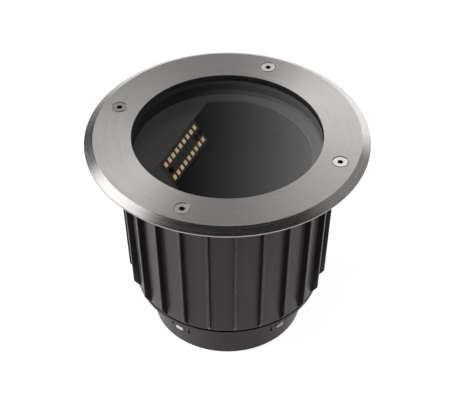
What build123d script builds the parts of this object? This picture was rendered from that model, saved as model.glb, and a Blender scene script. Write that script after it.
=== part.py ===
from build123d import *
import os
from math import cos, radians, sin, tan

# Recessed ground light: a ribbed sleeve that stays in the ground, a lamp that lifts out of it,
# an optic that turns inside the lamp, and a screwed trim ring that carries the glass.
# Millimetres, +Z up, +Y to the back, origin in the middle of the base's standing face.

# Trim ring and glass
opening_radius = 75.5
ring_band = 37.0
ring_edge = 1.0
bevel_height = 4.0
bevel_width = 6.9
rim_drop = 0.4
rim_gap = 0.5
lip_thickness = 2.0
edge_break = 0.3
glass_thickness = 10.0
glass_overlap = 4.5
glass_edge_break = 0.6
glass_side_gap = 0.5
bond_thickness = 1.0
gasket_thickness = 2.0

# Trim screws, countersunk with a hexagon socket
screw_count = 4
screw_turn = 68.7
screw_radius = 2.95
screw_length = 11.8
screw_head_radius = 6.0
screw_sink = 0.15
head_edge = 0.4
socket_width = 4.0
socket_depth = 2.4
head_gap = 0.1
ring_hole_gap = 0.25
thread_gap = 0.05
insert_wall = 1.5
insert_floor = 0.6
screw_edge_distance = 7.2

# Lamp housing
ring_overhang = 12.5
flange_thickness = 8.4
seal_thickness = 1.5
seal_margin = 1.2
glass_recess_gap = 0.6
neck_wall = 2.4
seat_wall = 3.0
bore_gap = 0.3
upper_wall = 2.6
upper_step_depth = 4.0
ledge_width = 3.3
pot_wall = 2.7
chamber_depth = 40.1
floor_thickness = 4.0
low_step = 4.7
low_wall = 4.5
rib_count = 18
rib_thickness = 3.0
rib_height = 3.7
rib_end_gap = 3.0

# Bottom cover
cover_thickness = 4.0
bottom_gasket_thickness = 1.0
bottom_gasket_margin = 0.4
under_cover_gap = 8.5
boss_radius = 5.0
boss_height = 16.0
boss_bite = 1.0
cover_screw_radius = 1.95
cover_screw_length = 14.0
cover_screw_head_radius = 3.8
cover_screw_head_height = 2.6
cover_screw_count = 4
cover_hole_gap = 0.3

# Ribbed sleeve
sleeve_height = 129.0
sleeve_wall = 2.5
sleeve_flange_setback = 2.0
sleeve_flange_thickness = 4.0
flare_height = 8.0
neck_gap = 0.8
neck_end_gap = 1.0
lamp_gap_top = 1.5
lamp_gap_bottom = 0.6
sleeve_floor_thickness = 3.0
floor_lip = 5.4
fin_count = 24
fin_turn = 4.3
fin_thickness = 2.2
fin_height = 5.1
fin_foot = 8.0
fin_corner = 1.5
fin_tip_break = 0.5
spigot_wall = 2.5
spigot_gap = 0.4
spigot_end_gap = 2.0

# Clip-on base
base_radius = 62.8
base_height = 41.5
base_wall = 2.5
foot_width = 11.0
foot_thickness = 2.5
foot_break = 0.6
base_flange_thickness = 2.5
base_flange_setback = 0.3
shadow_gap = 1.9
base_seat_width = 4.0
tongue_turn = -87.7
tongue_spread = 41.2
tongue_half_angle = 8.1
tongue_low = 14.5
tongue_slit = 0.8
tongue_top_gap = 1.0
relief_radius = 1.3
nose_width = 8.0
nose_height = 3.0
nose_reach = 1.6
nose_rise = 0.5
hook_reach = 1.4
hook_height = 2.5
hook_half_angle = 4.0
hook_gap = 0.3

# Cable grommets in the base wall
grommet_turns = (0.0, 90.0)
grommet_height = 13.0
grommet_bore = 5.0
grommet_neck = 7.5
grommet_flange = 9.5
grommet_flange_thickness = 2.0
grommet_gap = 0.05

# Turning joint of the optic
turn_gap = 0.3
plate_below_glass = 11.6
plate_thickness = 2.0
plate_side_gap = 0.4
carrier_thickness = 5.0
carrier_side_gap = 1.2
pivot_radius = 4.95
pivot_gap = 0.05
pivot_head_radius = 8.0
pivot_head_height = 4.0
pivot_socket_width = 5.0
pivot_thread_radius = 2.95
pivot_boss_radius = 8.0
pivot_boss_height = 8.0
washer_thickness = 0.8
washer_width = 3.6
bush_distance = 24.0
bush_radius = 4.5
bush_bore = 2.8
bush_rise = 2.5
bush_head_radius = 6.5
bush_head_thickness = 1.5
bush_gap = 0.05
turn_limit = 90.0
slot_gap = 0.4

# Optic
optic_turn = -25.0
window_rim = 7.9
chord_depth = 24.3
row_below_plate = 7.6
row_from_chord = 1.6
board_tilt = 53.0
led_count = 9
led_pitch = 6.4
led_row_gap = 12.6
led_size = 4.3
led_height = 0.6
phosphor_size = 3.4
phosphor_height = 0.2
board_length = 62.0
board_margin = 4.5
board_thickness = 1.6
pad_thickness = 0.3
pad_margin = 0.5
board_screw_radius = 1.45
board_screw_head = 2.3
board_screw_head_height = 1.4
board_screw_length = 6.0
board_screw_places = (-24.3, 27.5)
board_hole_gap = 0.15
wire_hole_place = 20.7
wire_hole_radius = 2.6
wire_hole_depth = 14.0
wire_sleeve_wall = 0.7
wire_sleeve_rise = 0.6
tooling_hole_place = 4.3
tooling_hole_radius = 0.9
block_margin = 1.5
block_back = 8.0
reflector_thickness = 1.2
reflector_lift = 0.2
reflector_side = 0.7
reflector_low = 26.5
reflector_low_across = -8.0
flank_margin = 1.5
reflector_rim_drop = 3.0
window_gap = 0.4
post_radius = 4.0
plate_post_setback = 10.8
plate_post_edge = 4.1
reflector_post_across = 22.0
reflector_post_along = 32.0
post_screw_radius = 1.45
post_screw_length = 11.0
post_screw_head = 2.9
post_screw_head_height = 1.8
post_screw_sink = 0.4

# Driver and terminals under the chamber floor
driver_length = 80.0
driver_width = 34.0
driver_height = 26.0
driver_corner = 3.0
driver_offset = 30.0
driver_lug_length = 8.0
driver_lug_width = 12.0
driver_lug_thickness = 3.0
fixing_radius = 1.45
fixing_bite = 3.0
fixing_head_radius = 2.8
fixing_head_height = 2.0
terminal_length = 34.0
terminal_width = 16.0
terminal_height = 15.0
terminal_offset = -30.0
terminal_poles = 3
terminal_pitch = 9.0
terminal_wire_radius = 2.2
terminal_screw_radius = 1.8
terminal_screw_depth = 5.0
terminal_screw_sink = 0.6
terminal_screw_inset = 4.0
terminal_screw_gap = 0.1
terminal_fixing_inset = 3.6
earth_place_x = 36.0
earth_place_y = -18.0
earth_radius = 1.95
earth_bite = 3.2
earth_head_radius = 3.6
earth_head_height = 2.4
earth_washer_radius = 4.6
earth_washer_thickness = 0.8

# Cable gland and vent in the bottom cover
gland_offset = -24.0
gland_width = 24.0
gland_collar = 6.0
gland_thread_radius = 9.9
gland_thread_rise = 7.0
gland_thread_gap = 0.1
gland_washer_width = 3.0
gland_washer_thickness = 1.0
gland_bore = 7.0
gland_upper_bore = 6.0
gland_lower_radius = 9.0
gland_lower_length = 8.0
locknut_height = 4.0
nut_start_gap = 0.5
nut_length = 18.0
nut_dome = 4.0
nut_mouth = 6.0
nut_gap = 0.1
seal_bore = 5.0
seal_gap = 0.1
seal_length = 13.0
seal_top_inset = 5.0
vent_offset = 30.0
vent_radius = 3.9
vent_gap = 0.1
vent_head_radius = 8.0
vent_head_height = 4.5
vent_rise = 5.0
vent_nut_width = 13.0
vent_nut_height = 3.5
vent_slot_width = 1.5
vent_slot_depth = 2.0
vent_slot_count = 3

# Radii that follow from the sizes above
ring_radius = opening_radius + ring_band
flange_radius = ring_radius - ring_overhang
screw_circle = flange_radius - screw_edge_distance
glass_radius = opening_radius + glass_overlap
recess_radius = glass_radius + glass_recess_gap
neck_radius = recess_radius + neck_wall
bore_radius = opening_radius + bore_gap
upper_radius = bore_radius + upper_wall
chamber_radius = bore_radius - ledge_width
chamber_outside = chamber_radius + pot_wall
low_outside = chamber_outside - low_step
low_inside = low_outside - low_wall
rib_radius = low_outside + rib_height
boss_circle = low_inside - boss_radius + boss_bite
insert_hole = screw_radius + thread_gap
insert_radius = insert_hole + insert_wall
plate_radius = bore_radius - plate_side_gap
carrier_radius = chamber_radius - carrier_side_gap
window_radius = plate_radius - window_rim
chord_distance = window_radius - chord_depth
plate_post_across = -chord_distance - plate_post_setback
plate_post_along = ((carrier_radius - plate_post_edge) ** 2 - plate_post_across**2) ** 0.5
reflector_radius = window_radius + reflector_side
rebate_radius = neck_radius + neck_gap
sleeve_flange_radius = flange_radius - sleeve_flange_setback
sleeve_top_inside = upper_radius + lamp_gap_top
sleeve_bottom_inside = rib_radius + lamp_gap_bottom
base_inside = base_radius - base_wall
spigot_radius = base_inside - spigot_gap
spigot_inside = spigot_radius - spigot_wall
floor_hole = spigot_inside - floor_lip
base_flange_radius = sleeve_bottom_inside + sleeve_wall - base_flange_setback

# Heights that follow from the sizes above
ring_thickness = ring_edge + bevel_height
z_sleeve_top = base_height + sleeve_height
z_flange = z_sleeve_top + seal_thickness
z_flange_top = z_flange + flange_thickness
z_ring = z_flange_top - rim_drop
z_top = z_ring + ring_thickness
z_lip = z_top - lip_thickness
z_glass_top = z_lip - bond_thickness
z_glass = z_glass_top - glass_thickness
z_seat = z_glass - gasket_thickness
z_neck = z_seat - seat_wall
z_plate = z_glass - plate_below_glass
z_plate_under = z_plate - plate_thickness
z_ledge = z_plate_under - turn_gap
z_floor = z_ledge - chamber_depth
z_floor_under = z_floor - floor_thickness
z_carrier = z_floor + turn_gap
z_carrier_top = z_carrier + carrier_thickness
z_washer = z_carrier_top + turn_gap
z_pivot_head = z_washer + washer_thickness
z_rebate = z_neck - neck_end_gap
z_sleeve_flange = z_sleeve_top - sleeve_flange_thickness
z_flare = z_sleeve_flange - flare_height
z_sleeve_floor = base_height + sleeve_floor_thickness
z_spigot = grommet_height + grommet_flange + spigot_end_gap
z_cover = z_sleeve_floor + under_cover_gap
z_cover_top = z_cover + cover_thickness
z_pot = z_cover_top + bottom_gasket_thickness
z_base_flange = base_height - shadow_gap - base_flange_thickness
z_screw_top = z_top - screw_sink
z_screw_tip = z_screw_top - screw_length
z_insert = z_flange + insert_floor

# The board's face: x runs down its slope, y along its rows, z out of its face
row_across = -chord_distance + row_from_chord
row_height = z_plate - row_below_plate
led_rise = led_height + phosphor_height
slope_down = (cos(radians(board_tilt)), 0, -sin(radians(board_tilt)))
slope_out = (sin(radians(board_tilt)), 0, cos(radians(board_tilt)))
board_face = Plane(
    origin=(row_across - led_rise * slope_out[0], 0, row_height - led_rise * slope_out[2]),
    x_dir=slope_down,
    z_dir=slope_out,
)
board_width = led_row_gap + 2 * board_margin
board_middle = led_row_gap / 2


def tube(outside, inside, low, high):
    """A plain ring between two heights."""
    return Pos(0, 0, low) * extrude(Circle(outside) - Circle(inside), high - low)


def disc(radius, low, high):
    """A plain disc between two heights."""
    return Pos(0, 0, low) * extrude(Circle(radius), high - low)


def turned(points):
    """A solid turned about Z from an outline of radius and height points."""
    return revolve(Plane.XZ * make_face(Polyline(*points, close=True)), Axis.Z)


def hexagon(width, low, high):
    """A hexagonal prism of the given width across flats."""
    return Pos(0, 0, low) * extrude(RegularPolygon(width / 2, 6, major_radius=False), high - low)


def slab(x_size, y_size, low, high):
    """A rectangular block about the Z axis between two heights."""
    return Pos(0, 0, low) * extrude(Rectangle(x_size, y_size), high - low)


def around(shape, count, start=0.0):
    """Copies of a shape, evenly turned about Z."""
    return [Rot(0, 0, start + 360 * k / count) * shape for k in range(count)]


def wedge(half_angle, low, high, reach):
    """A sector about +X between two heights, out to the given reach."""
    side = reach * tan(radians(half_angle))
    outline = Polyline((0, 0), (reach, -side), (reach, side), close=True)
    return Pos(0, 0, low) * extrude(make_face(outline), high - low)


def sleeve_inside(height):
    """Inner radius of the tapering sleeve wall at a height."""
    share = (height - z_sleeve_floor) / (z_rebate - z_sleeve_floor)
    return sleeve_bottom_inside + share * (sleeve_top_inside - sleeve_bottom_inside)


def sleeve_outside(height):
    """Outer radius of the tapering sleeve wall at a height."""
    return sleeve_inside(height) + sleeve_wall


def on_optic(shape):
    """Turns a piece of the optic to the way it is aimed."""
    return Rot(0, 0, optic_turn) * shape


# Sleeve


def make_fin():
    """One upright fin of the sleeve with its slanted foot, on the +X side."""
    z_tip = base_height + fin_foot
    foot = sleeve_outside(base_height)
    root_high = sleeve_outside(z_sleeve_flange) - sleeve_wall / 2
    tip_low = sleeve_outside(z_tip) + fin_height
    tip_high = sleeve_outside(z_sleeve_flange) + fin_height
    outline = make_face(Polyline(
        (root_high, z_sleeve_flange),
        (foot - sleeve_wall / 2, base_height),
        (foot, base_height),
        (tip_low, z_tip),
        (tip_high, z_sleeve_flange),
        close=True,
    ))
    outline = fillet(outline.vertices().sort_by_distance((tip_low, z_tip, 0))[0], fin_corner)
    blade = extrude(Plane.XZ * outline, fin_thickness / 2, both=True)
    tip_edges = [edge for edge in blade.edges() if edge.center().X > foot + fin_height / 3]
    tip_edges = [edge for edge in tip_edges if abs(edge.center().Y) > fin_thickness / 4]
    return fillet(tip_edges, fin_tip_break)


def make_sleeve():
    """The ribbed sleeve with its top flange, its holed floor and the spigot for the base."""
    wall_top = sleeve_outside(z_flare)
    flange_root = rebate_radius + sleeve_wall
    shell = turned([
        (sleeve_outside(base_height), base_height),
        (wall_top, z_flare),
        (flange_root, z_sleeve_flange),
        (sleeve_flange_radius, z_sleeve_flange),
        (sleeve_flange_radius, z_sleeve_top),
        (rebate_radius, z_sleeve_top),
        (rebate_radius, z_rebate),
        (sleeve_inside(z_rebate), z_rebate),
        (sleeve_inside(z_sleeve_floor), z_sleeve_floor),
        (floor_hole, z_sleeve_floor),
        (floor_hole, base_height),
    ])
    spigot = tube(spigot_radius, spigot_inside, z_spigot, base_height)
    sleeve = shell + spigot + around(make_fin(), fin_count, fin_turn)
    z_hook = z_base_flange - tongue_top_gap - hook_height
    window = wedge(
        hook_half_angle + hook_gap,
        z_hook - hook_gap,
        z_hook + hook_height + hook_gap,
        base_radius,
    )
    return sleeve - [Rot(0, 0, angle) * window for angle in tongue_angles()]


def tongue_angles():
    """Directions of the base's snap tongues, in two opposite pairs."""
    front = (tongue_turn - tongue_spread, tongue_turn + tongue_spread)
    return [angle + half_turn for half_turn in (0, 180) for angle in front]


def make_base():
    """The base with its foot, its flange under the sleeve and its snap tongues."""
    base = turned([
        (base_inside - foot_width, 0),
        (base_radius - foot_break, 0),
        (base_radius, foot_break),
        (base_radius, z_base_flange),
        (base_flange_radius, z_base_flange),
        (base_flange_radius, base_height - shadow_gap),
        (base_radius + base_seat_width, base_height - shadow_gap),
        (base_radius + base_seat_width, base_height),
        (base_inside, base_height),
        (base_inside, foot_thickness),
        (base_inside - foot_width, foot_thickness),
    ])
    z_free = z_base_flange - tongue_top_gap
    wall_reach = base_radius + base_wall
    slit = Pos(wall_reach / 2, 0, tongue_low) * extrude(
        Rectangle(wall_reach, tongue_slit), z_free - tongue_low
    )
    relief = Pos(wall_reach / 2, 0, tongue_low) * Rot(0, 90, 0) * Cylinder(relief_radius, wall_reach)
    top_cut = wedge(tongue_half_angle, z_free, z_base_flange, wall_reach)
    top_cut &= tube(wall_reach, base_inside - base_wall, z_free, z_base_flange)
    cuts = [top_cut]
    for side in (-tongue_half_angle, tongue_half_angle):
        cuts += [Rot(0, 0, side) * slit, Rot(0, 0, side) * relief]
    nose_run = nose_width - nose_height
    nose = Rot(90, 0, 0) * Cylinder(nose_height / 2, nose_run)
    nose += [Pos(0, side * nose_run / 2, 0) * Sphere(nose_height / 2) for side in (-1, 1)]
    nose = Pos(base_radius + nose_reach - nose_height / 2, 0, tongue_low + nose_rise) * nose
    z_hook = z_free - hook_height
    hook = turned([
        (base_inside + base_wall / 2, z_hook),
        (base_inside - hook_reach, z_hook),
        (base_inside, z_free),
        (base_inside + base_wall / 2, z_free),
    ])
    hook &= wedge(hook_half_angle, z_hook, z_free, base_radius)
    for angle in tongue_angles():
        base -= [Rot(0, 0, angle) * cut for cut in cuts]
        base += [Rot(0, 0, angle) * nose, Rot(0, 0, angle) * hook]
    neck_hole = Pos(wall_reach / 2, 0, grommet_height) * Rot(0, 90, 0) * Cylinder(
        grommet_neck + grommet_gap, wall_reach
    )
    return base - [Rot(0, 0, turn) * neck_hole for turn in grommet_turns]


def make_grommets():
    """Two rubber grommets in the base wall, at the right and at the back."""
    seat_out = base_radius + grommet_gap
    seat_in = (base_inside**2 - grommet_flange**2) ** 0.5 - grommet_gap
    spool = tube(grommet_flange, grommet_bore, seat_out, seat_out + grommet_flange_thickness)
    spool += tube(grommet_neck, grommet_bore, seat_in, seat_out)
    spool += tube(grommet_flange, grommet_bore, seat_in - grommet_flange_thickness, seat_in)
    grommet = Pos(0, 0, grommet_height) * Rot(0, 90, 0) * spool
    return [Rot(0, 0, turn) * grommet for turn in grommet_turns]


# Lamp


def make_housing():
    """The lamp housing: flange, glass seat, optic chamber, driver space and cooling ribs."""
    pot = turned([
        (recess_radius, z_flange_top),
        (flange_radius, z_flange_top),
        (flange_radius, z_flange),
        (neck_radius, z_flange),
        (neck_radius, z_neck),
        (upper_radius, z_neck),
        (upper_radius, z_ledge - upper_step_depth),
        (chamber_outside, z_ledge - upper_step_depth - (upper_radius - chamber_outside)),
        (chamber_outside, z_floor_under),
        (low_outside, z_floor_under - low_step),
        (low_outside, z_pot),
        (low_inside, z_pot),
        (low_inside, z_floor_under),
        (0, z_floor_under),
        (0, z_floor),
        (chamber_radius, z_floor),
        (chamber_radius, z_ledge),
        (bore_radius, z_ledge),
        (bore_radius, z_seat),
        (recess_radius, z_seat),
    ])
    rib_root = low_outside - low_wall / 2
    rib_outline = Rectangle(rib_radius - rib_root, rib_thickness)
    rib_low = z_pot + rib_end_gap
    rib = Pos((rib_radius + rib_root) / 2, 0, rib_low) * extrude(rib_outline, z_floor_under - rib_low)
    boss = Pos(boss_circle, 0, z_pot) * extrude(Circle(boss_radius), boss_height)
    pivot_boss = disc(pivot_boss_radius, z_floor_under - pivot_boss_height, z_floor_under)
    pot = pot + pivot_boss + around(rib, rib_count) + around(boss, cover_screw_count)
    boss_hole = Pos(boss_circle, 0, z_pot) * extrude(
        Circle(cover_screw_radius + thread_gap), boss_height - boss_bite
    )
    insert_hole_cut = Pos(screw_circle, 0, z_insert) * extrude(
        Circle(insert_radius + thread_gap), z_flange_top - z_insert
    )
    pot -= disc(pivot_thread_radius + thread_gap, z_floor_under - pivot_boss_height, z_floor)
    pot -= around(boss_hole, cover_screw_count)
    pot -= around(insert_hole_cut, screw_count, screw_turn)
    pot -= bush_place() * Pos(0, 0, z_floor_under) * extrude(Circle(bush_radius + bush_gap), floor_thickness)
    for x, y in fixing_places():
        pot -= Pos(x, y, z_floor_under) * extrude(Circle(fixing_radius + thread_gap), fixing_bite)
    earth_hole = extrude(Circle(earth_radius + thread_gap), earth_bite)
    pot -= Pos(earth_place_x, earth_place_y, z_floor_under) * earth_hole
    return pot


def bush_place():
    """The lead bush stands on the side away from the LED board at rest."""
    return Rot(0, 0, optic_turn) * Pos(bush_distance, 0, 0)


def fixing_places():
    """Fixing screws of the driver, then of the terminal block."""
    driver_reach = (driver_length + driver_lug_length) / 2
    terminal_reach = terminal_length / 2 - terminal_fixing_inset
    return [
        (-driver_reach, driver_offset),
        (driver_reach, driver_offset),
        (-terminal_reach, terminal_offset),
        (terminal_reach, terminal_offset),
    ]


def make_seat_seal():
    """Flat rubber ring under the lamp's flange."""
    return tube(sleeve_flange_radius - seal_margin, rebate_radius + seal_margin, z_sleeve_top, z_flange)


def make_glass_gasket():
    """Flat ring that the glass presses on."""
    return tube(glass_radius, bore_radius + edge_break, z_seat, z_glass)


def make_inserts():
    """Threaded inserts in the flange for the trim screws."""
    insert = Pos(screw_circle, 0, 0) * tube(insert_radius, insert_hole, z_insert, z_flange_top)
    return around(insert, screw_count, screw_turn)


def make_bottom_cover():
    """The plate that closes the driver space, with the gland, vent and screw holes."""
    plate = disc(low_outside, z_cover, z_cover_top)
    screw_hole = Pos(boss_circle, 0, z_cover) * extrude(
        Circle(cover_screw_radius + cover_hole_gap), cover_thickness
    )
    plate -= around(screw_hole, cover_screw_count)
    plate -= Pos(0, gland_offset, z_cover) * extrude(
        Circle(gland_thread_radius + gland_thread_gap), cover_thickness
    )
    plate -= Pos(0, vent_offset, z_cover) * extrude(Circle(vent_radius + vent_gap), cover_thickness)
    return plate


def make_bottom_gasket():
    """Flat ring between the housing and the bottom cover."""
    margin = bottom_gasket_margin
    return tube(low_outside - margin, low_inside + margin, z_cover_top, z_pot)


def make_cover_screws():
    """Pan-head screws that hold the bottom cover."""
    head_low = z_cover - cover_screw_head_height
    head = disc(cover_screw_head_radius, head_low, z_cover)
    head -= hexagon(cover_screw_radius * 2, head_low, z_cover - cover_screw_head_height / 2)
    screw = head + disc(cover_screw_radius, z_cover, z_cover + cover_screw_length)
    return around(Pos(boss_circle, 0, 0) * screw, cover_screw_count)


def make_pivot_bolt():
    """Shoulder bolt that the optic turns on."""
    head_top = z_pivot_head + pivot_head_height
    bolt = disc(pivot_head_radius, z_pivot_head, head_top)
    bolt += disc(pivot_radius, z_floor, z_pivot_head)
    bolt += disc(pivot_thread_radius, z_floor_under - pivot_boss_height, z_floor)
    return bolt - hexagon(pivot_socket_width, head_top - pivot_head_height / 2, head_top)


def make_wave_washer():
    """Spring washer that gives the optic its drag."""
    inside = pivot_radius + pivot_gap
    return tube(inside + washer_width, inside, z_washer, z_pivot_head)


def make_lead_bush():
    """Bush for the LED leads, which is also the end stop of the optic's turn."""
    bush = tube(bush_head_radius, bush_bore, z_floor_under - bush_head_thickness, z_floor_under)
    bush += tube(bush_radius, bush_bore, z_floor_under, z_carrier_top + bush_rise)
    return bush_place() * bush


def fixing_screw(bite, shaft, head_radius, head_height, clamped):
    """A screw driven upwards into the chamber floor through a clamped thickness."""
    low = z_floor_under - clamped
    screw = disc(head_radius, low - head_height, low) + disc(shaft, low, z_floor_under + bite)
    return screw - hexagon(shaft * 2, low - head_height, low - head_height / 2)


def make_driver():
    """The closed LED driver with its two fixing lugs."""
    case = slab(driver_length, driver_width, z_floor_under - driver_height, z_floor_under)
    case = fillet(case.edges().filter_by(Axis.Z), driver_corner)
    lug = slab(
        driver_length + 2 * driver_lug_length,
        driver_lug_width,
        z_floor_under - driver_lug_thickness,
        z_floor_under,
    )
    body = Pos(0, driver_offset, 0) * (case + lug)
    for x, y in fixing_places()[:2]:
        body -= Pos(x, y, z_floor_under - driver_lug_thickness) * extrude(
            Circle(fixing_radius + cover_hole_gap), driver_lug_thickness
        )
    return body


def make_driver_screws():
    """The two screws through the driver's lugs."""
    screw = fixing_screw(
        fixing_bite, fixing_radius, fixing_head_radius, fixing_head_height, driver_lug_thickness
    )
    return [Pos(x, y, 0) * screw for x, y in fixing_places()[:2]]


def terminal_places():
    """Middle of each pole along the terminal block."""
    first = -terminal_pitch * (terminal_poles - 1) / 2
    return [first + terminal_pitch * k for k in range(terminal_poles)]


def make_terminal_block():
    """The mains terminal block, with a wire way and two clamp screws for each pole."""
    low = z_floor_under - terminal_height
    block = slab(terminal_length, terminal_width, low, z_floor_under)
    for x in terminal_places():
        wire_way = Rot(90, 0, 0) * Cylinder(terminal_wire_radius, terminal_width)
        block -= Pos(x, 0, z_floor_under - terminal_height / 2) * wire_way
        for y in (-1, 1):
            block -= Pos(x, y * terminal_screw_inset, low) * extrude(
                Circle(terminal_screw_radius + terminal_screw_gap), terminal_screw_sink + terminal_screw_depth
            )
    head_hole = Circle(fixing_head_radius + cover_hole_gap)
    shaft_hole = Circle(fixing_radius + cover_hole_gap)
    for side in (-1, 1):
        place = Pos(side * (terminal_length / 2 - terminal_fixing_inset), 0, low)
        block -= place * extrude(head_hole, terminal_height / 2)
        block -= place * extrude(shaft_hole, terminal_height)
    return Pos(0, terminal_offset, 0) * block


def make_terminal_screws():
    """Clamp screws of the terminal block."""
    low = z_floor_under - terminal_height + terminal_screw_sink
    screw = disc(terminal_screw_radius, low, low + terminal_screw_depth)
    screw -= slab(terminal_screw_radius * 2, terminal_screw_sink, low, low + terminal_screw_sink)
    places = [(x, y) for x in terminal_places() for y in (-terminal_screw_inset, terminal_screw_inset)]
    return [Pos(x, terminal_offset + y, 0) * screw for x, y in places]


def make_terminal_fixings():
    """The two screws that hold the terminal block."""
    clamped = terminal_height / 2
    screw = fixing_screw(fixing_bite, fixing_radius, fixing_head_radius, fixing_head_height, clamped)
    return [Pos(x, y, 0) * screw for x, y in fixing_places()[2:]]


def make_earth_screw():
    """Earth screw with its washer under the chamber floor."""
    screw = fixing_screw(
        earth_bite, earth_radius, earth_head_radius, earth_head_height, earth_washer_thickness
    )
    washer = disc(earth_washer_radius, z_floor_under - earth_washer_thickness, z_floor_under)
    return Pos(earth_place_x, earth_place_y, 0) * (screw + washer)


# Cable gland and vent


def at_gland(shape):
    """Moves a piece to the cable gland's axis."""
    return Pos(0, gland_offset, 0) * shape


z_collar = z_cover - gland_washer_thickness - gland_collar
z_gland_end = z_collar - gland_lower_length
z_nut = z_collar - nut_start_gap - nut_length
seal_outside = gland_bore - seal_gap
z_seal = z_collar + gland_collar - seal_top_inset - seal_length


def make_gland_body():
    """The gland's collar with its two threads."""
    body = hexagon(gland_width, z_collar, z_collar + gland_collar)
    body += disc(gland_thread_radius, z_collar + gland_collar, z_cover_top + gland_thread_rise)
    body += disc(gland_lower_radius, z_gland_end, z_collar)
    body -= disc(gland_bore, z_gland_end, z_collar + gland_collar)
    return at_gland(body - disc(gland_upper_bore, z_collar + gland_collar, z_cover_top + gland_thread_rise))


def make_gland_washer():
    """Sealing ring under the gland's collar."""
    inside = gland_thread_radius + gland_thread_gap
    return at_gland(tube(inside + gland_washer_width, inside, z_collar + gland_collar, z_cover))


def make_gland_locknut():
    """Flat nut that holds the gland from inside."""
    high = z_cover_top + locknut_height
    nut = hexagon(gland_width, z_cover_top, high)
    return at_gland(nut - disc(gland_thread_radius + gland_thread_gap, z_cover_top, high))


def make_gland_seal():
    """Rubber sleeve that grips the cable."""
    return at_gland(tube(seal_outside, seal_bore, z_seal, z_seal + seal_length))


def make_gland_nut():
    """Clamping nut with a domed end."""
    top = z_nut + nut_length
    nut = hexagon(gland_width, z_nut, top)
    corner = gland_width / (2 * cos(radians(30)))
    nut &= turned([
        (0, z_nut),
        (corner - nut_dome, z_nut),
        (corner, z_nut + nut_dome),
        (corner, top),
        (0, top),
    ])
    cavity = disc(gland_lower_radius + nut_gap, z_nut + nut_dome, top)
    return at_gland(nut - cavity - disc(nut_mouth, z_nut, z_nut + nut_dome))


def make_vent_plug():
    """Breather plug with slots round its head."""
    low = z_cover - vent_head_height
    plug = disc(vent_head_radius, low, z_cover)
    plug += disc(vent_radius, z_cover, z_cover_top + vent_rise)
    slot = slab(vent_head_radius * 2, vent_slot_width, low, low + vent_slot_depth)
    plug -= [Rot(0, 0, 180 * k / vent_slot_count) * slot for k in range(vent_slot_count)]
    return Pos(0, vent_offset, 0) * plug


def make_vent_nut():
    """Nut of the breather plug."""
    nut = hexagon(vent_nut_width, z_cover_top, z_cover_top + vent_nut_height)
    nut -= disc(vent_radius + vent_gap, z_cover_top, z_cover_top + vent_nut_height)
    return Pos(0, vent_offset, 0) * nut


# Optic, built with its light thrown along +X and then turned


def post_places():
    """Posts of the aiming plate, then of the reflector."""
    return [
        (plate_post_across, -plate_post_along),
        (plate_post_across, plate_post_along),
        (reflector_post_across, -reflector_post_along),
        (reflector_post_across, reflector_post_along),
    ]


def post_bore(x, y):
    """Pilot hole for the screw of a post."""
    depth = post_screw_sink + post_screw_head_height + post_screw_length
    return Pos(x, y, z_carrier) * extrude(Circle(post_screw_radius + thread_gap), depth)


def make_aiming_plate():
    """The round plate with its D-shaped window, on two posts."""
    beside_chord = Pos(-chord_distance, 0) * Rectangle(
        2 * plate_radius, 2 * plate_radius, align=(Align.MIN, Align.CENTER)
    )
    outline = Circle(plate_radius) - (Circle(window_radius) & beside_chord)
    plate = Pos(0, 0, z_plate_under) * extrude(outline, plate_thickness)
    post = extrude(Circle(post_radius), z_plate_under - z_carrier_top)
    for x, y in post_places()[:2]:
        plate += Pos(x, y, z_carrier_top) * post
        plate -= post_bore(x, y)
    return on_optic(plate)


def on_slope(down, depth):
    """Place across and up of a point down the board's slope and behind its face."""
    point = board_face.from_local_coords((down, 0, -depth))
    return (point.X, point.Z)


def along_slope(radius, place, low, high):
    """A round bar square to the board's face, at a place along its middle line."""
    return board_face * Pos(board_middle, place, low) * extrude(Circle(radius), high - low)


def make_carrier():
    """Turntable of the optic, with the sloping heat block behind the LED board."""
    slot_width = 2 * (bush_radius + slot_gap)
    slot = SlotArc(CenterArc((0, 0), bush_distance, -turn_limit, 2 * turn_limit), slot_width)
    table = Circle(carrier_radius) - Circle(pivot_radius + pivot_gap) - slot
    carrier = Pos(0, 0, z_carrier) * extrude(table, carrier_thickness)
    depth = board_thickness + pad_thickness
    high = on_slope(-board_margin - block_margin, depth)
    low = on_slope(led_row_gap + board_margin + block_margin, depth)
    back = high[0] - block_back
    outline = Polyline(
        high,
        low,
        (low[0], z_carrier_top),
        (back, z_carrier_top),
        (back, high[1]),
        close=True,
    )
    carrier += extrude(Plane.XZ * make_face(outline), board_length / 2, both=True)
    carrier -= along_slope(wire_hole_radius, wire_hole_place, -wire_hole_depth, 0)
    for place in board_screw_places:
        carrier -= along_slope(board_screw_radius + thread_gap, place, -board_screw_length - thread_gap, 0)
    sunk_head = Circle(post_screw_head + cover_hole_gap)
    for x, y in post_places():
        carrier -= post_bore(x, y)
        carrier -= Pos(x, y, z_carrier) * extrude(sunk_head, post_screw_sink + post_screw_head_height)
    return on_optic(carrier)


def make_carrier_screws():
    """Screws from under the turntable into the posts."""
    low = z_carrier + post_screw_sink
    seat = low + post_screw_head_height
    screw = disc(post_screw_head, low, seat) + disc(post_screw_radius, seat, seat + post_screw_length)
    screw -= hexagon(post_screw_radius * 2, low, low + post_screw_head_height / 2)
    return [on_optic(Pos(x, y, 0) * screw) for x, y in post_places()]


def board_slab(margin, low, high):
    """A slab over the LED board's outline, drawn in by a margin."""
    outline = Rectangle(board_width - 2 * margin, board_length - 2 * margin)
    return board_face * Pos(board_middle, 0, low) * extrude(outline, high - low)


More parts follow.
